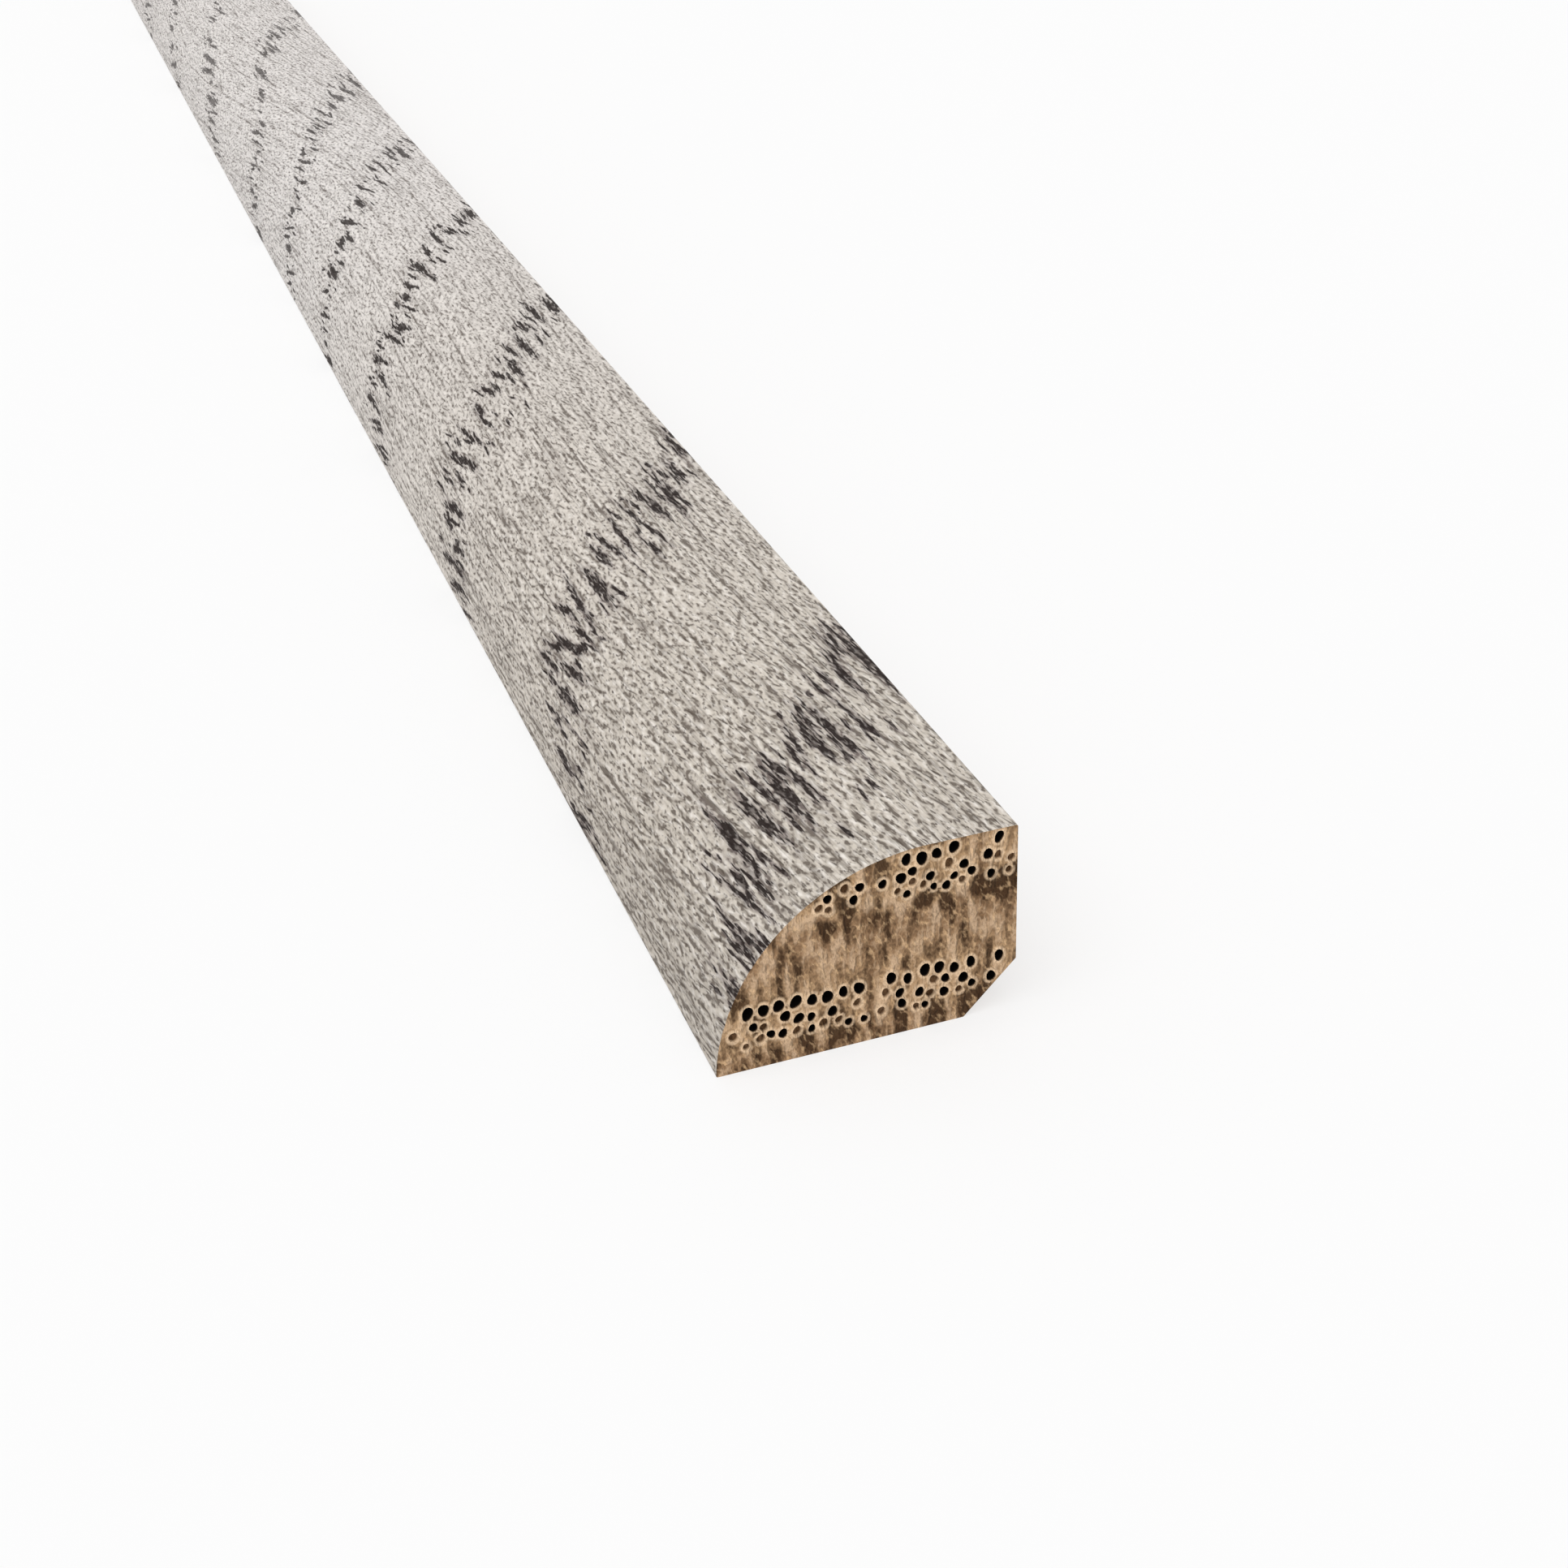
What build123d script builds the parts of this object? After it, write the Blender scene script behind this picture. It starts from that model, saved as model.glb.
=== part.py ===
from build123d import *
import os

# Shoe moulding: one strip of solid hardwood, milled to the same section from end to end.
# It lies on its wide seat, as on a floor in front of a baseboard: +X runs along the strip,
# -Y faces the room, +Y faces the baseboard and +Z is up. The origin is on the floor, at the
# middle of the strip's length and width. All sizes are in millimetres.

# Driving dimensions
LENGTH = 1981.2  # a 78 inch stock length
WIDTH = 19.05  # 3/4 inch, from the toe to the baseboard
HEIGHT = 12.7  # 1/2 inch, from the floor to the top edge
LIP = 5.55  # flat on top, from the baseboard to where the round begins
RELIEF = 3.4  # each leg of the bevelled heel, which keeps the strip off the corner of floor and baseboard


def moulding_section() -> Sketch:
    """The section across the strip, seen from its +X end with the toe on the left."""
    toe = (-WIDTH / 2, 0)
    back = WIDTH / 2
    with BuildSketch(Plane.YZ) as section:
        with BuildLine():
            seats = Polyline(
                toe,
                (back - RELIEF, 0),
                (back, RELIEF),
                (back, HEIGHT),
                (back - LIP, HEIGHT),
            )
            # The round leaves the lip without a crease and meets the floor seat at the toe.
            TangentArc(seats @ 1, toe, tangent=(-1, 0))
        make_face()
    return section.sketch


shoe_moulding = extrude(moulding_section(), amount=LENGTH / 2, both=True)

os.makedirs("parts", exist_ok=True)
export_step(shoe_moulding, "parts/shoe_moulding.step")
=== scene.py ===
# %% [markdown]
# # A whitewashed shoe moulding
# A shoe moulding is a thin strip of hardwood that covers the gap between a floor and a baseboard.
# This lesson dresses the measured strip: its show face is brushed and whitewashed so that dark
# pores stand out in slanting bands, and its sawn ends show bare end grain with open pores.
# All sizes below are in millimetres, and they turn into Blender's metres where a mesh is made.

# %% Load the measured strip
import math

import bpy
import numpy as np
from mathutils import Matrix, Vector
from mathutils.geometry import delaunay_2d_cdt


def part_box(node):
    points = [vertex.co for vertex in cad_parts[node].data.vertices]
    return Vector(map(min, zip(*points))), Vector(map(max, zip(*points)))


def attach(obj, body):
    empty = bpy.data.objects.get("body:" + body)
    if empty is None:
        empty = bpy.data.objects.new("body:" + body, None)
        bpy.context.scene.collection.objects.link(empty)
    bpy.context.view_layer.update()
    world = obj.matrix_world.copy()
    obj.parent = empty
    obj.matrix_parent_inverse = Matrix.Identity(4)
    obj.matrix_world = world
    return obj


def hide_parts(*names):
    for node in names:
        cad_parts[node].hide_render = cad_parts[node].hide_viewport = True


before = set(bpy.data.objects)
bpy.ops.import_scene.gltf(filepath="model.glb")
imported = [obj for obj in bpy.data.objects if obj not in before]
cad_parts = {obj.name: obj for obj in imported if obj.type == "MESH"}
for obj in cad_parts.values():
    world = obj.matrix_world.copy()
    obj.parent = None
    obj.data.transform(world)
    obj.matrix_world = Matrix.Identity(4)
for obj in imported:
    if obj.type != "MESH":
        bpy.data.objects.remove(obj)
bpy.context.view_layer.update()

MM = 0.001

# %% [markdown]
# ## Read the section off the solid
# The solid already holds the section, so nothing is typed in twice. The flat lip on top ends where
# the highest points end, and the bevelled heel begins where the lowest points end. The round
# between lip and toe is one arc that leaves the lip without a crease, which fixes its radius.

# %% Section sizes
NEARLY = 1e-5

low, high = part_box("shoe_moulding")
solid_points = np.array([v.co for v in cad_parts["shoe_moulding"].data.vertices])
LENGTH, WIDTH, HEIGHT = (high - low) / MM
LIP = (high.y - solid_points[solid_points[:, 2] > high.z - NEARLY, 1].min()) / MM
RELIEF = (high.y - solid_points[solid_points[:, 2] < low.z + NEARLY, 1].max()) / MM
ROUND_ACROSS = WIDTH - LIP
ROUND_RADIUS = (ROUND_ACROSS**2 + HEIGHT**2) / (2 * HEIGHT)
print(f"lip {LIP:.2f}, heel bevel {RELIEF:.2f}, round of radius {ROUND_RADIUS:.2f} mm")

# %% [markdown]
# ## Camera
# The camera stands just before the near end, above the floor and a little to the room side, so the
# strip runs away from it to the upper left. It is placed from the toe of the near end. A camera
# looks along its own -Z, so a track quaternion turns it, and a small roll tilts the picture.

# %% Place the camera
CAMERA_BEFORE_END = 99.16
CAMERA_OFF_TOE = -27.95
CAMERA_ABOVE_FLOOR = 79.13
CAMERA_TURN = math.radians(18.35)
CAMERA_DIP = math.radians(30.07)
CAMERA_ROLL = math.radians(-2.49)
FIELD_OF_VIEW = math.radians(39.03)
CAMERA_CLIP = 5.0

camera_data = bpy.data.cameras.new("camera")
camera_data.sensor_fit = "HORIZONTAL"
camera_data.angle = FIELD_OF_VIEW
camera_data.clip_start = CAMERA_CLIP * MM
camera = bpy.data.objects.new("camera", camera_data)
bpy.context.collection.objects.link(camera)
near_toe = Vector((high.x, low.y, low.z))
stand = Vector((CAMERA_BEFORE_END, CAMERA_OFF_TOE, CAMERA_ABOVE_FLOOR)) * MM
gaze = Vector((
    -math.cos(CAMERA_TURN) * math.cos(CAMERA_DIP),
    math.sin(CAMERA_TURN) * math.cos(CAMERA_DIP),
    -math.sin(CAMERA_DIP),
))
aim = gaze.to_track_quat("-Z", "Y").to_matrix() @ Matrix.Rotation(CAMERA_ROLL, 3, "Z")
camera.matrix_world = Matrix.LocRotScale(near_toe + stand, aim.to_quaternion(), None)
bpy.context.scene.camera = camera
print("camera at", tuple(round(c, 4) for c in camera.location))

# %% [markdown]
# ## Nodes as sums
# A material or a geometry modifier is a graph of nodes, but the thought behind it is a formula.
# `Wire` wraps the output of a node so that formulas can be written as Python: every operator adds
# one Math node. `Graph.add` makes any other node: its settings go first, because they decide which
# sockets a node has, and then the sockets get their values or links.

# %% Wires and graphs
class Wire:
    """A node's output that can stand in a formula."""

    def __init__(self, graph, socket):
        self.graph = graph
        self.socket = socket

    def maths(self, operation, *others):
        sockets = dict(enumerate((self, *others)))
        return self.graph.add("ShaderNodeMath", {"operation": operation}, sockets)

    def __add__(self, other):
        return self.maths("ADD", other)

    def __sub__(self, other):
        return self.maths("SUBTRACT", other)

    def __mul__(self, other):
        return self.maths("MULTIPLY", other)

    def __truediv__(self, other):
        return self.maths("DIVIDE", other)

    def __pow__(self, power):
        return self.maths("POWER", power)

    def __lt__(self, other):
        return self.maths("LESS_THAN", other)

    def __gt__(self, other):
        return self.maths("GREATER_THAN", other)

    def __abs__(self):
        return self.maths("ABSOLUTE")

    def __rsub__(self, other):
        return self.graph.add("ShaderNodeMath", {"operation": "SUBTRACT"}, {0: other, 1: self})

    __radd__ = __add__
    __rmul__ = __mul__


class Graph:
    """A node tree that adds nodes and returns their outputs as wires."""

    def __init__(self, tree):
        self.tree = tree

    def add(self, kind, settings, sockets, output=0):
        node = self.tree.nodes.new(kind)
        for name, value in settings.items():
            setattr(node, name, value)
        for name, value in sockets.items():
            if isinstance(value, Wire):
                self.tree.links.new(value.socket, node.inputs[name])
            else:
                node.inputs[name].default_value = value
        return Wire(self, node.outputs[output]) if node.outputs else None

    def parts(self, vector):
        """The three numbers of a vector."""
        first = self.add("ShaderNodeSeparateXYZ", {}, {0: vector})
        return [Wire(self, socket) for socket in first.socket.node.outputs]

    def ease(self, value, start, end):
        """0 at start, 1 at end, level beyond both and smooth between. start may be the larger."""
        settings = {"interpolation_type": "SMOOTHSTEP"}
        return self.add("ShaderNodeMapRange", settings, {0: value, 1: start, 2: end})

    def ramp(self, value, start, end):
        """0 at start, 1 at end, level beyond both and straight between. start may be the larger."""
        return self.add("ShaderNodeMapRange", {}, {0: value, 1: start, 2: end})

    def blotches(self, along, across, detail=2.0):
        """Smooth noise from about 0 to 1, with a blotch to each unit of along and across."""
        place = self.add("ShaderNodeCombineXYZ", {}, {"X": along, "Y": across})
        sockets = {"Vector": place, "Scale": 1.0, "Detail": detail}
        return self.add("ShaderNodeTexNoise", {"noise_dimensions": "2D"}, sockets)

    def dice(self, row, column, seed):
        """Three random numbers from 0 to 1 for each whole row and column."""
        place = self.add("ShaderNodeCombineXYZ", {}, {"X": row, "Y": column, "Z": float(seed)})
        settings = {"noise_dimensions": "3D"}
        return self.parts(self.add("ShaderNodeTexWhiteNoise", settings, {"Vector": place}, 1))

    def tint(self, share, ground, colour):
        """ground where share is 0, colour where it is 1."""
        return self.add("ShaderNodeMix", {"data_type": "RGBA"}, {0: share, 6: ground, 7: colour}, 2)


def paint(red, green, blue):
    """A colour as it reads on a screen, 0 to 255, in Blender's linear light."""
    channels = []
    for level in (red, green, blue):
        share = level / 255
        channels.append(share / 12.92 if share <= 0.04045 else ((share + 0.055) / 1.055) ** 2.4)
    return (*channels, 1.0)


print("a mid grey of 128 is", round(paint(128, 128, 128)[0], 3), "in linear light")

# %% [markdown]
# ## The growth rings on the show face
# The strip is cut at a slant to the trunk, so its growth rings cross the show face as slanting
# bands, each one a crowd of dark open pores. A band is where `ring_count` is a whole number. The
# count rises along the strip, the climb makes a band lean as it goes up the face, and the lean
# itself swings slowly along the strip. One formula serves both the colour and the real relief.

# %% Ring formula
RING_STEP = 38.0
FIRST_RING = 3.6
RING_MIDDLE = 8.9
LEAN_LEAST = 1.27
LEAN_MORE = 1.48
LEAN_PERIOD = 460.0
CROWD_MORE = 0.59
CROWD_START = 57.0
CROWD_PERIOD = 287.0
BEND = 2.2
BEND_ALONG = 346.0
BEND_GIRTH = 20.9
BEND_START = 0.75


def swing(along, start, period):
    """A smooth bump from 0 to 1 and back in each period, narrow at the top."""
    turn = (along - start) * (2 * math.pi / period)
    return (0.5 - 0.5 * turn.maths("COSINE")) ** 2.0


def ring_count(along, girth):
    lean = LEAN_LEAST + LEAN_MORE * swing(along, 0.0, LEAN_PERIOD)
    crowding = CROWD_MORE * swing(along, CROWD_START, CROWD_PERIOD)
    bend_turn = (along / BEND_ALONG + girth / BEND_GIRTH + BEND_START) * (2 * math.pi)
    bend = BEND * bend_turn.maths("SINE")
    return (along - FIRST_RING - lean * (girth - RING_MIDDLE) - bend) / RING_STEP + crowding


print(f"growth rings lie about {RING_STEP:.0f} mm apart along the strip")

# %% [markdown]
# ## Open pores
# Where a brush has swept the soft wood out, each pore is a short dark dash that runs with the
# strip. Within a band the dashes stack up like tiles, so the face is cut into rows and every row
# gets one dash for each ring, with its own length, thickness, slant and place from the dice. Big,
# middling and small dashes are the same function with other sizes. Strokes painted by hand could
# look as good, but a rule carries on by itself along two metres of strip.

# %% Pore formula
PORE_SIZES = (
    # row height, half length, half thickness, spread along, share that is there
    (1.75, 3.7, 0.45, 5.5, 0.95),
    (1.15, 2.6, 0.27, 8.0, 0.85),
    (0.80, 1.6, 0.19, 10.0, 0.65),
    (0.55, 1.0, 0.14, 14.0, 0.50),
)
PORE_SEED = 3
PORE_SEED_STEP = 10
LEAST_SIZE = 0.5
RISE_SHARE = 0.5
LEVEL_SLANT = 0.85
MOST_SLANT = 0.28
FAR_OUTSIDE = 9.0


def dash_in_row(graph, row, number, off_along, off_across, size, seed):
    """1 in the middle of the dash with this row and number, 0 on its edge and less outside."""
    row_height, half_length, half_thickness, spread, share = size
    place, length, thickness = graph.dice(row, number, seed)
    here, rise, slant = graph.dice(row, number, seed + 1)
    off_along = off_along + (place - 0.5) * spread
    off_across = off_across - (rise - 0.5) * (RISE_SHARE * row_height)
    off_across = off_across - (slant - LEVEL_SLANT) * MOST_SLANT * off_along
    reach = off_along / (half_length * (LEAST_SIZE + length))
    width = off_across / (half_thickness * (LEAST_SIZE + thickness))
    out = (reach * reach + width * width) ** 0.5
    return 1.0 - out - (share < here) * FAR_OUTSIDE


def pore_row(graph, along, girth, size, seed):
    """Dashes that follow the rings, one for each row and ring."""
    row = (girth / size[0]).maths("FLOOR")
    middle = (row + 0.5) * size[0]
    count = ring_count(along, middle)
    ring = count.maths("ROUND")
    return dash_in_row(graph, row, ring, (count - ring) * RING_STEP, girth - middle, size, seed)


def pore_dashes(graph, along, girth):
    """The dashes of every size: 1 in the middle of one, 0 on its edge and less outside."""
    deepest = None
    for number, size in enumerate(PORE_SIZES):
        dash = pore_row(graph, along, girth, size, PORE_SEED_STEP * number + PORE_SEED)
        deepest = dash if deepest is None else deepest.maths("MAXIMUM", dash)
    return deepest


longest_pore = 2 * PORE_SIZES[0][1] * (LEAST_SIZE + 1)
print(f"{len(PORE_SIZES)} sizes of pores, the longest {longest_pore:.1f} mm")

# %% [markdown]
# ## The strip's outline and its rows
# The mesh is a skin of rows. Each row repeats the section, walked from the toe over the round and
# the lip, down the back seat, along the bevel of the heel and back across the floor seat. Every
# long arris is eased by a hair, as a planed edge is. Rows lie close together at the near end, where
# the pores are seen from a hand's breadth away, and further apart beyond it.

# %% Walk round the section
ARRIS = 0.1
SHOW_STEP = 0.4


def eased_corner(corner, before, after):
    """Three points that round a corner off, from the side of before to the side of after."""
    one = (before - corner) / np.linalg.norm(before - corner)
    other = (after - corner) / np.linalg.norm(after - corner)
    half = math.acos(float(one @ other)) / 2
    inward = (one + other) / np.linalg.norm(one + other)
    reach = ARRIS / math.tan(half)
    top = corner + inward * (ARRIS / math.sin(half) - ARRIS)
    return [corner + one * reach, top, corner + other * reach]


def section_walk():
    """Points round the section as (across, height), and how many of them lie on the show face."""
    toe = np.array([0.0, 0.0])
    arris = np.array([WIDTH, HEIGHT])
    heel_top = np.array([WIDTH, RELIEF])
    heel_low = np.array([WIDTH - RELIEF, 0.0])
    centre = np.array([ROUND_ACROSS, HEIGHT - ROUND_RADIUS])
    toe_angle = math.atan2(-centre[1], -centre[0]) % (2 * math.pi)
    steps = round(ROUND_RADIUS * (toe_angle - math.pi / 2) / SHOW_STEP)
    angles = np.linspace(toe_angle, math.pi / 2, steps + 1)[1:]
    curve = centre + ROUND_RADIUS * np.stack([np.cos(angles), np.sin(angles)], 1)
    lip_steps = round(LIP / SHOW_STEP)
    lip = [np.array([x, HEIGHT]) for x in np.linspace(ROUND_ACROSS, WIDTH, lip_steps + 1)[1:-1]]
    show = [
        *eased_corner(toe, heel_low, curve[0]),
        *curve,
        *lip,
        *eased_corner(arris, lip[-1], heel_top),
    ]
    back = [
        (arris + heel_top) / 2,
        *eased_corner(heel_top, arris, heel_low),
        *eased_corner(heel_low, heel_top, toe),
        heel_low * 2 / 3,
        heel_low / 3,
    ]
    return np.array(show + back), len(show)


walk, show_points = section_walk()
walk_steps = np.linalg.norm(np.roll(walk, -1, axis=0) - walk, axis=1)
girth_at = np.concatenate([[0.0], np.cumsum(walk_steps)])
SHOW_GIRTH = girth_at[show_points - 1]
print(f"{len(walk)} points round the section, {SHOW_GIRTH:.2f} mm of it show face")

# %% Rows along the strip
FINE_ROW = 0.5
COARSE_ROW = 2.4
ROW_GROWTH = 0.006

rows = [0.0]
while rows[-1] < LENGTH:
    rows.append(rows[-1] + min(COARSE_ROW, FINE_ROW + ROW_GROWTH * rows[-1]))
row_at = np.array(rows) * LENGTH / rows[-1]
print(f"{len(row_at)} rows, {len(row_at) * len(walk)} points on the skin")

# %% [markdown]
# ## Holes in the sawn ends
# On the cut end the same pores are seen as round holes. Under each ring line stands a row of big
# open ones, with a net of smaller ones below it, some of them filled, and the rays stay free. A
# rule with seeded dice lays them out, so that every run gives the same wood and the ends differ.

# %% Lay out the holes
RING_LINES = (4.6, 12.65)
ROW_BELOW = 0.66
ROW_WANDER = 0.1
ROW_START = (0.2, 1.0)
ROW_STEP = 1.0
ROW_STEP_SCALES = (0.9, 1.1)
ROW_SIZE = (0.33, 0.45)
ROW_SCALES = (0.88, 1.1)
NET_THROWS = 260
NET_BELOW = (1.3, 3.0)
NET_SIZES = ((0.35, 0.42), (0.27, 0.32))
NET_SCALES = (0.8, 1.05)
SHARE_OPEN = 0.55
HOLE_TURN = 0.2
RAYS = (9.85, 16.7)
RAY_CLEAR = 0.45
RIM_POINTS = 14
RIM_LIP = 0.26
RIM_REACH = 1.2
RIM_OVAL = 0.06
RIM_EGG = 0.05
LIP_CLEAR = 0.04
HOLE_GAP = 0.01
EDGE_CLEAR = 0.05


def inside_section(point, margin):
    """Whether a point lies in the section, at least margin from its edge."""
    across, height = point
    to_centre = math.hypot(across - ROUND_ACROSS, height - (HEIGHT - ROUND_RADIUS))
    past_round = across < ROUND_ACROSS and to_centre > ROUND_RADIUS - margin
    past_heel = across - height > WIDTH - RELIEF - margin * math.sqrt(2)
    past_flat = height < margin or height > HEIGHT - margin or across > WIDTH - margin
    return not (past_round or past_heel or past_flat)


def outside_holes(point, holes, aside, above):
    """Whether a point lies off the uneven rim of every hole, by this much aside and above."""
    return all(
        math.hypot(
            (point[0] - across) / (half_width * RIM_REACH + aside),
            (point[1] - height) / (half_height * RIM_REACH + above),
        ) > 1
        for across, height, half_width, half_height, *_ in holes
    )


def add_hole(random, holes, place, size, is_open):
    """Adds (across, height, half width, half height, turn, open or not) to holes, if it fits."""
    off_rays = all(abs(place[0] - ray) > RAY_CLEAR for ray in RAYS)
    clear = outside_holes(place, holes, size[0] + HOLE_GAP, size[1] + HOLE_GAP)
    if off_rays and clear and inside_section(place, max(size) + EDGE_CLEAR):
        holes.append((*place, *size, random.normal(0, HOLE_TURN), is_open))


def lay_out_holes(random):
    """A row of big open pores under each ring line, and below it a net of smaller ones."""
    holes = []
    for line in RING_LINES:
        across = random.uniform(*ROW_START) * ROW_STEP
        while across < WIDTH:
            place = (across, line - ROW_BELOW + random.normal(0, ROW_WANDER))
            add_hole(random, holes, place, random.uniform(*ROW_SCALES) * np.array(ROW_SIZE), True)
            across += ROW_STEP * random.uniform(*ROW_STEP_SCALES)
        for _ in range(NET_THROWS):
            share = random.random()
            below = NET_BELOW[0] + share * (NET_BELOW[1] - NET_BELOW[0])
            big, small = np.array(NET_SIZES)
            size = (big + share * (small - big)) * random.uniform(*NET_SCALES)
            place = (random.uniform(0, WIDTH), line - below)
            add_hole(random, holes, place, size, random.random() < SHARE_OPEN)
    return holes


def rim(hole, grow, random=None):
    """Points round a hole, grown outward, a little uneven if random is given."""
    across, height, half_width, half_height, turn, _ = hole
    angles = np.linspace(0, 2 * math.pi, RIM_POINTS, endpoint=False)
    uneven = 1
    if random:
        oval, egg = random.uniform(0, 2 * math.pi, 2)
        uneven = 1 + RIM_OVAL * np.cos(2 * angles + oval) + RIM_EGG * np.cos(3 * angles + egg)
    x = (half_width * uneven + grow) * np.cos(angles)
    y = (half_height * uneven + grow) * np.sin(angles)
    turned_x = x * math.cos(turn) - y * math.sin(turn)
    turned_y = x * math.sin(turn) + y * math.cos(turn)
    return np.stack([turned_x, turned_y], 1) + (across, height)


print("ring lines at heights", RING_LINES, "and rays at", RAYS)

# %% [markdown]
# ## Cut the ends
# A constrained triangulation cuts the holes out of an end as real openings: it takes the section's
# outline and the rim of every hole, and returns triangles that respect them. Each hole then gets
# walls and a floor, deep for an open pore and shallow for a filled one. A Boolean could cut them
# too, but it is slow on many small holes. The rims stay level with the cut, and the ground between
# them lies a hair lower and uneven, as the saw leaves it. Two marks per point tell the finish where
# lips and holes are.

# %% Triangulate one end
GROUND_STEP = 0.55
GROUND_SHIFT = 0.2
GROUND_CLEAR = 0.25
GROUND_OFF_HOLES = 1.5 * RIM_LIP
SAW_DEPTH = 0.06
SAW_LEAST = 0.3
OPEN_DEPTH = 1.1
SHUT_DEPTH = 0.25
SHUT_MARK = 0.25
OPEN_MARK = 4.0
FLOOR_SHARE = 0.72
INSIDE_OUTLINES = 1
SAME_POINT = 1e-6


def ground_points(random, holes):
    """Uneven points between the holes, which keep the triangles of the sawn ground small."""
    points = []
    for x in np.arange(GROUND_STEP, WIDTH, GROUND_STEP):
        for y in np.arange(GROUND_STEP, HEIGHT, GROUND_STEP):
            point = np.array([x, y]) + random.uniform(-GROUND_SHIFT, GROUND_SHIFT, 2)
            off_holes = outside_holes(point, holes, GROUND_OFF_HOLES, GROUND_OFF_HOLES)
            if off_holes and inside_section(point, GROUND_CLEAR):
                points.append(point)
    return points


def sawn_end(seed):
    """Points past the outline's as (across, height, depth), faces, marks for lips and for holes."""
    random = np.random.default_rng(seed)
    holes = lay_out_holes(random)
    rims = [rim(hole, 0.0, random) for hole in holes]
    lips = [
        point
        for hole in holes
        for point in rim(hole, RIM_LIP)
        if inside_section(point, LIP_CLEAR) and outside_holes(point, holes, LIP_CLEAR, LIP_CLEAR)
    ]
    ground = ground_points(random, holes)
    flat = [*walk, *[p for ring in rims for p in ring], *lips, *ground]
    outlines = [list(range(len(walk)))[::-1]]
    for number in range(len(holes)):
        start = len(walk) + number * RIM_POINTS
        outlines.append(list(range(start, start + RIM_POINTS)))
    flat_points = [Vector(p) for p in flat]
    cut = delaunay_2d_cdt(flat_points, [], outlines, INSIDE_OUTLINES, SAME_POINT, True)
    source = [origins[0] for origins in cut[3]]
    on_rims = len(holes) * RIM_POINTS
    off_rims = len(flat) - len(walk) - on_rims
    depth = [0.0] * on_rims + list(random.uniform(SAW_LEAST, 1.0, off_rims) * SAW_DEPTH)
    points = [(*p, d) for p, d in zip(flat[len(walk):], depth)]
    lip_mark = [1.0] * on_rims + [0.0] * off_rims
    hole_mark = [0.0] * len(points)
    floor_of = {}
    for hole, ring, outline in zip(holes, rims, outlines[1:]):
        floor_at = np.array(hole[:2]) + (ring - hole[:2]) * FLOOR_SHARE
        is_open = hole[5]
        for index, place in zip(outline, floor_at):
            floor_of[index] = len(walk) + len(points)
            points.append((*place, OPEN_DEPTH if is_open else SHUT_DEPTH))
            lip_mark.append(1.0 if is_open else 0.0)
            hole_mark.append(OPEN_MARK if is_open else SHUT_MARK)
    faces = []
    for triangle, within in zip(cut[2], cut[5]):
        corners = [source[c] for c in triangle]
        faces.append([floor_of[c] for c in corners] if max(within) > 0 else corners)
    for outline in outlines[1:]:
        for one, other in zip(outline, outline[1:] + outline[:1]):
            faces.append([one, other, floor_of[other], floor_of[one]])
    return points, faces, lip_mark, hole_mark


NEAR_SEED = 11
FAR_SEED = 23
ends = [sawn_end(seed) for seed in (NEAR_SEED, FAR_SEED)]
print("faces on the ends:", [len(end[1]) for end in ends])

# %% [markdown]
# ## Join skin and ends into one mesh
# The skin's first and last rows are also the outlines of the ends, so the mesh is closed. Each
# point of the show face carries its place in the grain: millimetres along the strip and round the
# face from the toe. The finishes read that, so the pattern follows the wood and not the camera.

# %% Skin of rows
SHOW, RAW, END = range(3)
ring_size = len(walk)
row_count = len(row_at)


def skin_faces():
    row_start = np.arange(row_count - 1)[:, None] * ring_size
    one = (row_start + np.arange(ring_size)).ravel()
    other = (row_start + (np.arange(ring_size) + 1) % ring_size).ravel()
    return np.column_stack([one, other, other + ring_size, one + ring_size]).tolist()


along_rows = np.repeat(row_at, ring_size)
skin = np.column_stack([along_rows, np.tile(walk, (row_count, 1))])
skin_grain = np.column_stack([along_rows, np.tile(girth_at[:-1], row_count), np.zeros(len(skin))])
faces = skin_faces()
ring_finish = np.where(np.arange(ring_size) < show_points - 1, SHOW, RAW)
finish = np.tile(ring_finish, row_count - 1).tolist()
print(len(faces), "faces on the skin")

# %% Add the ends
points = [skin]
lip_marks = [np.zeros(len(skin))]
hole_marks = [np.zeros(len(skin))]
total = len(skin)
for end, at, inward, first in zip(ends, (0.0, LENGTH), (1, -1), (0, total - ring_size)):
    extra, end_faces, lip_mark, hole_mark = end
    extra = np.array(extra)
    points.append(np.column_stack([at + inward * extra[:, 2], extra[:, :2]]))
    for face in end_faces:
        indices = [first + c if c < ring_size else total + c - ring_size for c in face]
        faces.append(indices[::inward])
        finish.append(END)
    lip_marks.append(lip_mark)
    hole_marks.append(hole_mark)
    total += len(extra)
points = np.vstack(points)
grain = np.vstack([skin_grain, np.zeros((total - len(skin), 3))])
print(total, "points in all")

# %% Make the mesh
SHARP_ANGLE = math.radians(30)

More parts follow.
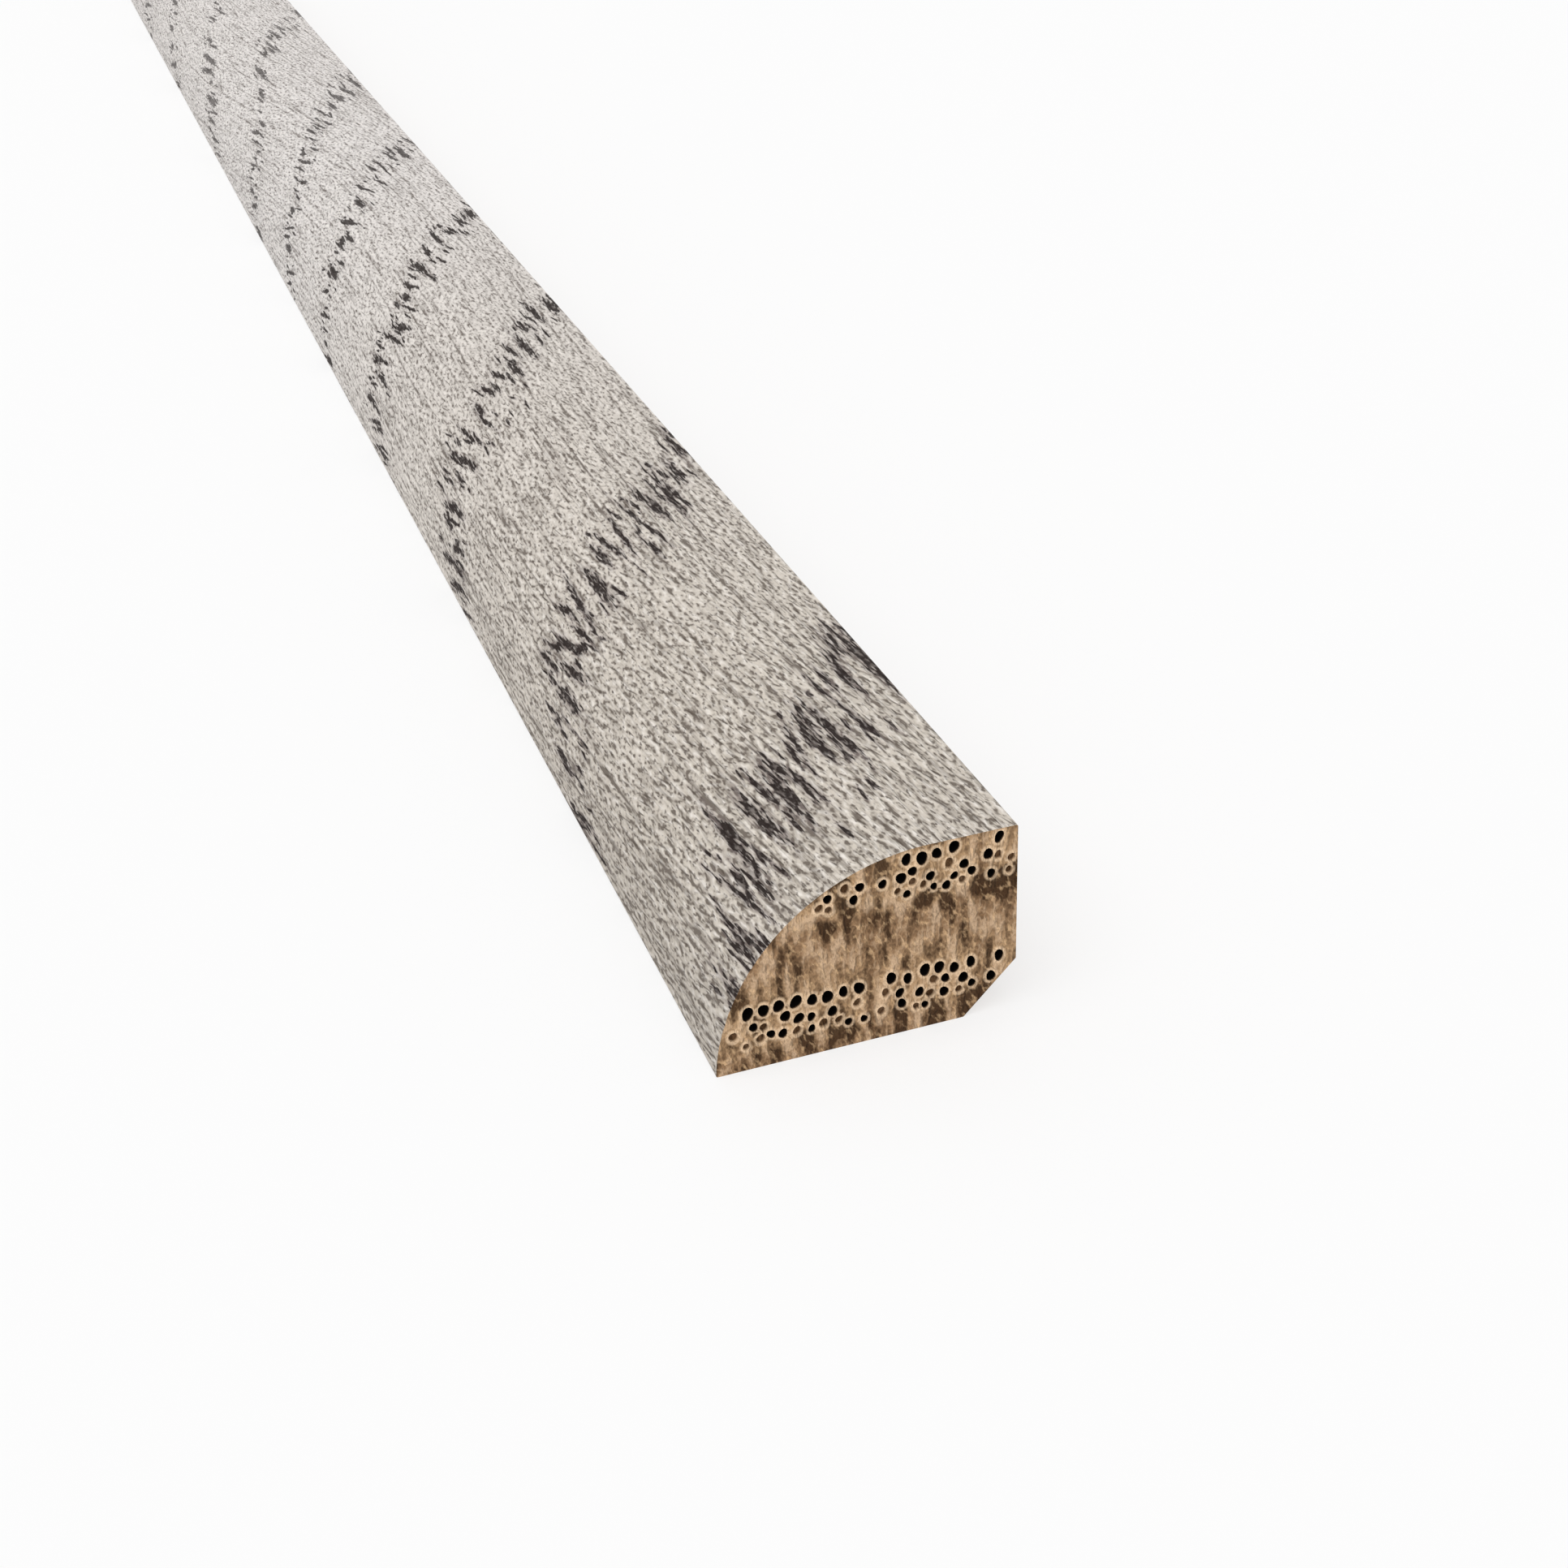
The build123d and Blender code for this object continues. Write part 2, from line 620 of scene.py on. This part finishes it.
places = np.column_stack([
    high.x - points[:, 0] * MM,
    low.y + points[:, 1] * MM,
    low.z + points[:, 2] * MM,
])
mesh = bpy.data.meshes.new("shoe_moulding_dressed")
mesh.from_pydata(places.tolist(), [], faces)
mesh.polygons.foreach_set("material_index", finish)
mesh.polygons.foreach_set("use_smooth", np.array(finish) != END)
mesh.attributes.new("grain", "FLOAT_VECTOR", "POINT").data.foreach_set("vector", grain.ravel())
for name, marks in (("lip_mark", lip_marks), ("hole_mark", hole_marks)):
    mesh.attributes.new(name, "FLOAT", "POINT").data.foreach_set("value", np.concatenate(marks))
mesh.set_sharp_from_angle(angle=SHARP_ANGLE)
mesh.update()
strip = bpy.data.objects.new("shoe_moulding_dressed", mesh)
bpy.context.collection.objects.link(strip)
print(f"{len(mesh.vertices)} points, {sum(len(f) - 2 for f in faces)} triangles")

# %% [markdown]
# ## Real relief
# A brushed pore is a groove, so colour alone would look printed. A Geometry Nodes modifier sinks
# the show face along its normal wherever the pore formula says so. The edges of the face stay
# where they are, which keeps the arrises straight.

# %% Sink the pores
PORE_DEPTH = 0.12
GROOVE_FULL = 0.8
EDGE_START = 0.25
EDGE_FULL = 1.0

relief_tree = bpy.data.node_groups.new("brushed pores", "GeometryNodeTree")
relief_tree.interface.new_socket("Geometry", in_out="INPUT", socket_type="NodeSocketGeometry")
relief_tree.interface.new_socket("Geometry", in_out="OUTPUT", socket_type="NodeSocketGeometry")
relief = Graph(relief_tree)
body = relief.add("NodeGroupInput", {}, {})
vector_kind = {"data_type": "FLOAT_VECTOR"}
place = relief.add("GeometryNodeInputNamedAttribute", vector_kind, {"Name": "grain"})
along, girth = relief.parts(place)[:2]
off_toe = relief.ease(girth, EDGE_START, EDGE_FULL)
off_back = relief.ease(girth, SHOW_GIRTH - EDGE_START, SHOW_GIRTH - EDGE_FULL)
groove = relief.ease(pore_dashes(relief, along, girth), 0.0, GROOVE_FULL)
sink = groove * off_toe * off_back * (-PORE_DEPTH * MM)
normal = relief.add("GeometryNodeInputNormal", {}, {})
shift = relief.add("ShaderNodeVectorMath", {"operation": "SCALE"}, {0: normal, "Scale": sink})
sunk = relief.add("GeometryNodeSetPosition", {}, {"Geometry": body, "Offset": shift})
relief.add("NodeGroupOutput", {}, {0: sunk})
strip.modifiers.new("brushed pores", "NODES").node_group = relief_tree
evaluated = strip.evaluated_get(bpy.context.evaluated_depsgraph_get())
brushed = bpy.data.meshes.new_from_object(evaluated)
strip.modifiers.clear()
strip.data = brushed
moved = np.array([v.co for v in brushed.vertices]) - places
print(f"the deepest pore is {np.linalg.norm(moved, axis=1).max() / MM:.3f} mm deep")

# %% [markdown]
# ## Whitewashed show face
# Whitewash fills the brushed wood with thin pale paint, and wears off the raised fibres and out of
# the open pores. Three finishes share the same start: a Principled shader whose colour, roughness
# and bump come from masks, which run from 0 to 1. Masks from noise go on without end and need no
# picture.

# %% Start a finish
def new_finish(name):
    """A material, its graph and its Principled shader node."""
    material = bpy.data.materials.new(name)
    material.use_nodes = True
    graph = Graph(material.node_tree)
    shader = material.node_tree.nodes["Principled BSDF"]
    return material, graph, shader


def connect(graph, shader, colour, roughness, height, depth):
    """Feeds a shader its colour, roughness and a bump of this depth in millimetres."""
    bump_sockets = {"Strength": 1.0, "Distance": depth * MM, "Height": height}
    bump = graph.add("ShaderNodeBump", {}, bump_sockets)
    for name, wire in (("Base Color", colour), ("Roughness", roughness), ("Normal", bump)):
        graph.tree.links.new(wire.socket, shader.inputs[name])


print("a finish drives base colour, roughness and normal")

# %% [markdown]
# ## Worn fibres, with painted ridge light and shade
# Up close the wash is not one flat tone. Bare fibres of several lengths break it, and fine ridges
# get a painted shaded side and a painted lit side, made here from the slope of a noise: the noise
# less a shifted copy of itself. The wear is strongest near the end, and the toe near the end also
# gets painted shade.

# %% Worn fibres, with painted ridge light and shade
DRIFT_FALL = 0.045
DRIFT_SWING = 2.6
DRIFT_START = 100.0
DRIFT_PERIOD = 230.0
FIBRES = (
    # length, thickness, where a line starts and is full, share of the wash that it takes away
    (4.0, 1.00, 0.45, 0.80, 0.16),
    (45.0, 0.28, 0.58, 0.78, 0.42),
    (10.0, 0.50, 0.57, 0.78, 0.46),
    (3.2, 0.36, 0.58, 0.80, 0.60),
    (0.7, 0.24, 0.57, 0.76, 0.78),
)
RIDGE_LENGTH = 0.9
RIDGE_WIDTH = 0.40
RIDGE_SHIFT = 0.6
# The shaded and the lit side of each ridge are painted shade and painted highlight.
PAINTED_SHADE_SIDE = (0.09, 0.42)
PAINTED_SHADE_SIDE_SHARE = 0.85
PAINTED_LIT_SIDE = (0.0, -0.35)
PAINTED_LIT_SIDE_SHARE = 0.5
WORN = 0.88
WORN_NEAR = 0.27
WORN_FADE = (130.0, 10.0)
# The toe terms paint shade on the lower side of the round, near the end.
TOE_GIRTH = 10.0
TOE_FADE = (80.0, 5.0)
TOE_PAINTED_SHADE = 0.18
MOST_BARE = 0.85


def across_grain(along, girth):
    """The place across the grain, which drifts and swings slowly along the strip."""
    turn = (along - DRIFT_START) * (2 * math.pi / DRIFT_PERIOD)
    return girth + along * DRIFT_FALL - DRIFT_SWING * turn.maths("SINE")


def fibres_and_painted_light(graph, along, girth, across):
    """How bare the fibres are, with painted shade on the ridges and the toe, and the painted ridge
    highlight.
    """
    lines = 0.0
    for length, thickness, start, full, share in FIBRES:
        fibre = graph.blotches(along / length, across / thickness)
        lines = graph.ramp(fibre, start, full) * share + lines
    rise = graph.blotches(along / RIDGE_LENGTH, across / RIDGE_WIDTH, 1.0)
    fall = graph.blotches(along / RIDGE_LENGTH, across / RIDGE_WIDTH + RIDGE_SHIFT, 1.0)
    slope = rise - fall
    # Painted shade: the shaded side of each ridge is darkened like a bare fibre.
    lines = lines + graph.ramp(slope, *PAINTED_SHADE_SIDE) * PAINTED_SHADE_SIDE_SHARE
    worn = WORN + WORN_NEAR * graph.ease(along, *WORN_FADE)
    # Painted shade on the lower side of the round, near the end.
    toe = graph.ease(girth, TOE_GIRTH, 0.0) * graph.ease(along, *TOE_FADE) * TOE_PAINTED_SHADE
    bare_and_painted_shade = (lines * worn + toe).maths("MINIMUM", MOST_BARE)
    # Painted highlight: the lit side of each ridge.
    pale = graph.ramp(slope, *PAINTED_LIT_SIDE) * worn * PAINTED_LIT_SIDE_SHARE
    return bare_and_painted_shade, pale


print(len(FIBRES), "lengths of fibre, from", min(f[0] for f in FIBRES), "mm")

# %% [markdown]
# ## Ticks and pores
# Between the bands lie small ticks, which are dashes as well, one for each row and step along the
# strip. In the bands, the pores are torn at their edges by noise. Each has a soft shade round a dark
# core, and some wash is left in the cores near the end.

# %% Ticks and pores
TICK_STEP = 4.0
TICK_SIZE = (0.5, 1.0, 0.10, 2.6, 0.55)
TICK_SEED = 71
TICK_FULL = 0.8
TICK_SHARE = 0.6
TICK_SHARE_NEAR = 0.2
TEAR_LENGTH = 1.5
TEAR_WIDTH = 0.2
TEAR = 1.2
TEAR_NEAR = 1.5
SHADE_TEAR = 0.6
SHADE_EDGE = (-0.6, 0.5)
SHADE_SHARE = 0.04
SHADE_SHARE_NEAR = 0.46
GLAZE_LENGTH = 0.8
GLAZE_WIDTH = 0.3
GLAZE_SHIFT = 40.0
GLAZE_EDGE = (0.5, 0.7)
GLAZE_SHARE = 0.4
CORE_EDGE = (0.2, 0.46)
CORE_SHARE = 0.97
CORE_FADE = (110.0, 250.0)
CORE_FADE_SHARE = 0.22


def fine_ticks(graph, along, across, near):
    """Ticks all over the face, one for each row and step along."""
    row = (across / TICK_SIZE[0]).maths("FLOOR")
    off_across = across - (row + 0.5) * TICK_SIZE[0]
    count = along / TICK_STEP
    number = count.maths("ROUND")
    off_along = (count - number) * TICK_STEP
    ticks = dash_in_row(graph, row, number, off_along, off_across, TICK_SIZE, TICK_SEED)
    return graph.ease(ticks, 0.0, TICK_FULL) * (TICK_SHARE + TICK_SHARE_NEAR * near)


def torn_pores(graph, along, girth, across, near):
    """The soft shade round the pores, and their dark cores."""
    torn = graph.blotches(along / TEAR_LENGTH, across / TEAR_WIDTH) - 0.5
    torn = torn * (TEAR + TEAR_NEAR * near)
    dashes = pore_dashes(graph, along, girth)
    shade = graph.ease(dashes + torn * SHADE_TEAR, *SHADE_EDGE)
    shade = shade * (SHADE_SHARE + SHADE_SHARE_NEAR * near)
    glaze = graph.blotches(along / GLAZE_LENGTH, across / GLAZE_WIDTH + GLAZE_SHIFT)
    glaze = graph.ramp(glaze, *GLAZE_EDGE) * near * GLAZE_SHARE
    darkness = CORE_SHARE - CORE_FADE_SHARE * graph.ease(along, *CORE_FADE) - glaze
    core = graph.ease(dashes + torn, *CORE_EDGE) * darkness
    return shade, core


longest_tick = 2 * TICK_SIZE[1] * (LEAST_SIZE + 1)
print("up to one tick in every", TICK_STEP, "mm of a row, at most", longest_tick, "mm long")

# %% [markdown]
# ## Mix the whitewash
# The colour starts from the wash, which turns darker and warmer towards the near end: partly a
# thinner wash and partly painted shade. The masks then lay their colours over it one by one, the
# painted ridge highlight first and the pores last. Roughness and bump follow the same masks, so
# that bare fibres and pores lie deeper than the paint.

# %% Mix the whitewash
WASH = paint(224, 219, 216)
# Wash near the end: warmer, and darker partly as painted shade.
WASH_AND_SHADE_NEAR = paint(206, 197, 185)
NEAR_REACH = 190.0
BARE_FIBRE = paint(78, 66, 56)
# PAINTED_RIDGE_HIGHLIGHT is the painted highlight on the lit side of the ridges.
PAINTED_RIDGE_HIGHLIGHT = paint(248, 242, 235)
PORE_SHADE = paint(112, 99, 101)
PORE_CORE = paint(28, 16, 12)
WASH_SHINE = 0.2
WASH_ROUGHNESS = 0.62
CORE_ROUGHNESS = 0.2
CORE_SINK = 0.6
BARE_SINK = 0.6
TICK_SINK = 0.3
WASH_BUMP = 0.12


def whitewashed_face():
    material, graph, shader = new_finish("whitewashed face")
    shader.inputs["Specular IOR Level"].default_value = WASH_SHINE
    place = graph.add("ShaderNodeAttribute", {"attribute_name": "grain"}, {}, "Vector")
    along, girth = graph.parts(place)[:2]
    across = across_grain(along, girth)
    near = graph.ease(along, NEAR_REACH, 0.0)
    bare_and_painted_shade, pale = fibres_and_painted_light(graph, along, girth, across)
    ticks = fine_ticks(graph, along, across, near)
    shade, core = torn_pores(graph, along, girth, across, near)
    # Darker and warmer towards the near end: partly a thinner wash, partly painted shade.
    colour = graph.tint(near, WASH, WASH_AND_SHADE_NEAR)
    # Painted highlight on the ridges' lit side.
    colour = graph.tint(pale, colour, PAINTED_RIDGE_HIGHLIGHT)
    # Bare fibres, plus painted shade on the ridges' shaded side and at the toe.
    colour = graph.tint(bare_and_painted_shade, colour, BARE_FIBRE)
    colour = graph.tint(ticks, colour, BARE_FIBRE)
    colour = graph.tint(shade, colour, PORE_SHADE)
    colour = graph.tint(core, colour, PORE_CORE)
    roughness = WASH_ROUGHNESS + CORE_ROUGHNESS * core
    height = 1.0 - core * CORE_SINK - bare_and_painted_shade * BARE_SINK - ticks * TICK_SINK + pale
    connect(graph, shader, colour, roughness, height, WASH_BUMP)
    return material


show_finish = whitewashed_face()
print(len(show_finish.node_tree.nodes), "nodes in the whitewash")

# %% [markdown]
# ## Raw back
# The seats and the bevelled heel are planed and left raw, because they are never seen once the
# strip is fixed. Bare oak is a warm tan with fine darker lines that run with the strip, so two
# stretched noises are enough. They read the strip's own place, which needs no map.

# %% Raw oak
RAW_OAK = paint(188, 158, 126)
RAW_DARK = paint(134, 104, 76)
RAW_TILT = 1.7
LINE_SIZE = (5.0, 0.25)
LINE_EDGE = (0.5, 0.72)
LINE_SHARE = 0.6
FIGURE_SIZE = (90.0, 3.0)
FIGURE_EDGE = (0.45, 0.7)
FIGURE_SHARE = 0.35
RAW_ROUGHNESS = 0.72
DARK_ROUGHNESS = 0.1
RAW_BUMP = 0.06


def object_places(graph):
    """The point's place in the strip's own frame, in millimetres."""
    place = graph.add("ShaderNodeTexCoord", {}, {}, "Object")
    return [part / MM for part in graph.parts(place)]


def raw_oak():
    material, graph, shader = new_finish("raw planed oak")
    x, y, z = object_places(graph)
    across = y + z * RAW_TILT
    lines = graph.blotches(x / LINE_SIZE[0], across / LINE_SIZE[1])
    figure = graph.blotches(x / FIGURE_SIZE[0], across / FIGURE_SIZE[1])
    dark = graph.ease(lines, *LINE_EDGE) * LINE_SHARE
    dark = dark + graph.ease(figure, *FIGURE_EDGE) * FIGURE_SHARE
    colour = graph.tint(dark, RAW_OAK, RAW_DARK)
    roughness = RAW_ROUGHNESS + DARK_ROUGHNESS * dark
    connect(graph, shader, colour, roughness, 1.0 - lines, RAW_BUMP)
    return material


raw_finish = raw_oak()
print(len(raw_finish.node_tree.nodes), "nodes in the raw oak")

# %% [markdown]
# ## End grain
# On the saw cut, each year starts with a tan net of wood round the big pores and ends in dense
# brown latewood, streaked from ring to ring and dusted with pale specks. Broad rays cross all of
# it. How far a point lies below the next ring line above it decides which wood it is in.

# %% End grain
RING_WIDTH = RING_LINES[1] - RING_LINES[0]
NET_TAN = paint(170, 138, 104)
LATE_BROWN = paint(148, 117, 87)
WOOD_DARK = paint(44, 22, 4)
WOOD_PALE = paint(222, 192, 160)
RAY_BROWN = paint(122, 93, 66)
LIP_PALE = paint(230, 200, 166)
SPECK_GOLD = paint(228, 190, 146)
PIT_BROWN = paint(82, 56, 34)
# Painted shade inside the open pores.
HOLE_PAINTED_SHADE = paint(8, 4, 2)
FAR_END_SHIFT = 37.0
# Noises: size across, size up, strength
WAVE = (3.0, 9.0, 1.2)
RAGGED = (0.8, 1.6, 3.0)
PATCH = (1.1, 2.6, 9.0)
STREAK = (0.5, 3.2, 6.5)
GRIT = (0.24, 0.4, 4.0)
SWAY = (4.0, 2.5, 0.6)
# Distances below a ring line
NET_EDGE = (3.9, 2.7)
FLAME_TOP = (2.4, 3.2)
FLAME_FOOT = (6.0, 3.6)
FLAME = 0.9
LATE_EDGE = (5.6, 7.6)
LATE_SHARE = 0.6
RAY_EDGE = (0.55, 0.1)
RAY_SHARE = 0.7
FULLY_ROUGH = 2.6
DARK_SHARE = 0.85
PALE_SHARE = 0.55
SPECK_SIZE = (0.36, 0.65)
SPECK_EDGE = (0.52, 0.76)
SPECK_SHARE = 0.5
LIP_FULL = 0.7
LIP_SHARE = 0.7
PIT_SHARE = 0.85
END_SHINE = 0.1
END_ROUGHNESS = 0.8
STREAK_ROUGHNESS = 0.1
SPECK_RISE = 0.2
ROUGH_SINK = 0.3
END_BUMP = 0.25


def unevenness(graph, across, height, noise, detail=2.0):
    """A noise that swings about 0."""
    size_across, size_up, strength = noise
    return (graph.blotches(across / size_across, height / size_up, detail) - 0.5) * strength


def end_wood(graph, x, y, z):
    """Colour, roughness and height of the sawn wood between the holes."""
    across = y + WIDTH / 2
    shifted = across + (x < 0.0) * FAR_END_SHIFT
    wave = unevenness(graph, shifted, z, WAVE)
    below = ((RING_LINES[0] - z + wave) / RING_WIDTH).maths("FRACT") * RING_WIDTH
    net = graph.ease(below + unevenness(graph, shifted, z, RAGGED), *NET_EDGE)
    late = graph.ease(below, *LATE_EDGE) * LATE_SHARE
    flame = graph.ease(below, *FLAME_TOP) * graph.ease(below, *FLAME_FOOT)
    patch = unevenness(graph, shifted, z, PATCH, 1.0)
    streak = unevenness(graph, shifted, z, STREAK, 1.0)
    grit = unevenness(graph, shifted, z, GRIT, 1.0)
    rough = patch + streak + grit + flame * (FLAME + patch)
    slanted = graph.blotches(shifted / SPECK_SIZE[0] + z, z / SPECK_SIZE[1])
    specks = graph.ease(slanted, *SPECK_EDGE)
    colour = graph.tint(net.maths("MAXIMUM", late), LATE_BROWN, NET_TAN)
    sway = unevenness(graph, shifted, z, SWAY)
    for ray in RAYS:
        off_ray = abs(across - ray + sway)
        colour = graph.tint(graph.ease(off_ray, *RAY_EDGE) * RAY_SHARE, colour, RAY_BROWN)
    colour = graph.tint(graph.ramp(rough, 0.0, FULLY_ROUGH) * DARK_SHARE, colour, WOOD_DARK)
    colour = graph.tint(graph.ramp(rough, 0.0, -FULLY_ROUGH) * PALE_SHARE, colour, WOOD_PALE)
    colour = graph.tint(specks * SPECK_SHARE, colour, SPECK_GOLD)
    roughness = END_ROUGHNESS + streak * (STREAK_ROUGHNESS / STREAK[2])
    return colour, roughness, specks * SPECK_RISE - rough * ROUGH_SINK


def end_grain():
    material, graph, shader = new_finish("sawn end grain")
    shader.inputs["Specular IOR Level"].default_value = END_SHINE
    colour, roughness, height = end_wood(graph, *object_places(graph))
    lip = graph.add("ShaderNodeAttribute", {"attribute_name": "lip_mark"}, {}, "Fac")
    hole = graph.add("ShaderNodeAttribute", {"attribute_name": "hole_mark"}, {}, "Fac")
    colour = graph.tint(graph.ease(lip, 0.0, LIP_FULL) * LIP_SHARE, colour, LIP_PALE)
    colour = graph.tint(graph.ease(hole, 0.0, SHUT_MARK) * PIT_SHARE, colour, PIT_BROWN)
    # Painted shade: the walls and floors of open pores go black.
    colour = graph.tint(graph.ease(hole, SHUT_MARK, 2 * SHUT_MARK), colour, HOLE_PAINTED_SHADE)
    connect(graph, shader, colour, roughness, height, END_BUMP)
    return material


end_finish = end_grain()
for material in (show_finish, raw_finish, end_finish):
    brushed.materials.append(material)
print("finishes:", [m.name for m in brushed.materials])

# %% [markdown]
# ## A map for baking
# This map gives the strip's colours one square image to be baked into. Left alone, a strip a
# hundred times as long as it is wide would waste nearly all of it, so the strip is laid out in
# lengths, one above the other: the show face gets most of the room, the raw back a little.

# %% Lay out the bake map
LENGTHS = 8
SHOW_SHARE = 0.75
RAW_SHARE = 0.10
MAP_GAP = 0.003
END_SCALE = 0.011


def bake_places():
    """A place on the map for every corner of every face, in the mesh's own order."""
    cut_length = LENGTH / LENGTHS
    found = []
    starts = {}
    show_height = SHOW_SHARE / LENGTHS
    raw_height = RAW_SHARE / (LENGTHS / 2)
    raw_girth = girth_at[-1] - SHOW_GIRTH
    for row in range(row_count - 1):
        number = min(int((row_at[row] + row_at[row + 1]) / 2 / cut_length), LENGTHS - 1)
        start = starts.setdefault(number, row_at[row])
        step = (1 - 2 * MAP_GAP) / (cut_length + COARSE_ROW)
        u = [MAP_GAP + (row_at[row + k] - start) * step for k in (0, 1)]
        for i in range(ring_size):
            g = (girth_at[i], girth_at[i + 1])
            if i < show_points - 1:
                base = number * show_height + MAP_GAP / 2
                v = [base + k / SHOW_GIRTH * (show_height - MAP_GAP) for k in g]
                across = u
            else:
                base = SHOW_SHARE + (number // 2) * raw_height + MAP_GAP / 2
                v = [base + (k - SHOW_GIRTH) / raw_girth * (raw_height - MAP_GAP) for k in g]
                across = [(number % 2) * 0.5 + k * 0.5 for k in u]
            found += [(across[0], v[0]), (across[0], v[1]), (across[1], v[1]), (across[1], v[0])]
    end_base = SHOW_SHARE + RAW_SHARE + MAP_GAP
    for face, kind in zip(faces, finish):
        if kind == END:
            far = points[face[-1]][0] > LENGTH / 2
            left = MAP_GAP + far * (WIDTH * END_SCALE + 4 * MAP_GAP)
            for corner in face:
                _, aside, height = points[corner]
                found.append((left + aside * END_SCALE, end_base + height * END_SCALE))
    return np.array(found)


bake_map = brushed.uv_layers.new(name="OFBake")
map_places = bake_places()
bake_map.uv.foreach_set("vector", map_places.ravel())
print("bake map spans", map_places.min(0).round(3), map_places.max(0).round(3))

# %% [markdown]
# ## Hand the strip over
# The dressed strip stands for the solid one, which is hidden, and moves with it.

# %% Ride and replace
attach(strip, "root")
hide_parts("shoe_moulding")
print("dressed", strip.name)

# %% [markdown]
# ## Floor and light
# A plain pale floor carries the strip and takes its shadow. The world is an even soft sky, and two
# broad suns give the round its shape, the stronger from above and the other towards the near end.
# The camera sees a white sky and a floor that is mostly white, and the light on the strip stays at
# a plain level.

# %% Floor
FLOOR_HALF = 12.0
FLOOR_SIDES = ((-1, -1), (1, -1), (1, 1), (-1, 1))
FLOOR_PALE = paint(240, 240, 240)
FLOOR_ROUGHNESS = 0.9
FLOOR_WHITE_SHARE = 0.62
WHITE = (1.0, 1.0, 1.0, 1.0)

floor_mesh = bpy.data.meshes.new("floor")
floor_corners = [(x * FLOOR_HALF, y * FLOOR_HALF, low.z) for x, y in FLOOR_SIDES]
floor_mesh.from_pydata(floor_corners, [], [(0, 1, 2, 3)])
floor = bpy.data.objects.new("floor", floor_mesh)
bpy.context.collection.objects.link(floor)
floor_material, floor_graph, floor_shader = new_finish("pale floor")
floor_shader.inputs["Base Color"].default_value = FLOOR_PALE
floor_shader.inputs["Roughness"].default_value = FLOOR_ROUGHNESS
floor_shader.inputs["Specular IOR Level"].default_value = 0.0


def seen_directly(graph):
    """1 for a ray from the camera, a mirror or glass, and 0 for light that falls on things."""
    seen = graph.add("ShaderNodeLightPath", {}, {}, "Is Camera Ray")
    path = seen.socket.node.outputs
    for name in ("Is Glossy Ray", "Is Transmission Ray"):
        seen = seen + Wire(graph, path[name])
    return seen.maths("MINIMUM", 1.0)


white = floor_graph.add("ShaderNodeEmission", {}, {"Color": WHITE, "Strength": 1.0})
pale = Wire(floor_graph, floor_shader.outputs["BSDF"])
share = seen_directly(floor_graph) * FLOOR_WHITE_SHARE
mixed = floor_graph.add("ShaderNodeMixShader", {}, {0: share, 1: pale, 2: white})
floor_output = floor_material.node_tree.nodes["Material Output"]
floor_material.node_tree.links.new(mixed.socket, floor_output.inputs["Surface"])
floor_mesh.materials.append(floor_material)
print("floor at height", round(low.z, 4))

# %% Sky and lamps
SKY_LIGHT = 0.6
LAMPS = (
    # name, where it shines from, how much light, how broad it is in degrees
    ("key light", (0.3, -0.3, 1.0), 0.43, 60),
    ("fill light", (1.0, -0.15, 0.3), 0.28, 60),
)

world = bpy.data.worlds.new("soft sky")
bpy.context.scene.world = world
world.use_nodes = True
sky = Graph(world.node_tree)
seen = seen_directly(sky)
strength = seen + (1.0 - seen) * SKY_LIGHT
background = world.node_tree.nodes["Background"]
background.inputs["Color"].default_value = WHITE
world.node_tree.links.new(strength.socket, background.inputs["Strength"])
for name, shines_from, light, breadth in LAMPS:
    lamp_data = bpy.data.lights.new(name, "SUN")
    lamp_data.energy = light * math.pi
    lamp_data.angle = math.radians(breadth)
    lamp = bpy.data.objects.new(name, lamp_data)
    lamp.rotation_euler = Vector(shines_from).to_track_quat("Z", "Y").to_euler()
    bpy.context.collection.objects.link(lamp)
    print(f"{name} on a level surface: {light * Vector(shines_from).normalized().z:.2f}")

# %% [markdown]
# ## View
# The Standard view transform shows a colour as it was mixed.

# %% Finish
bpy.context.scene.view_settings.view_transform = "Standard"
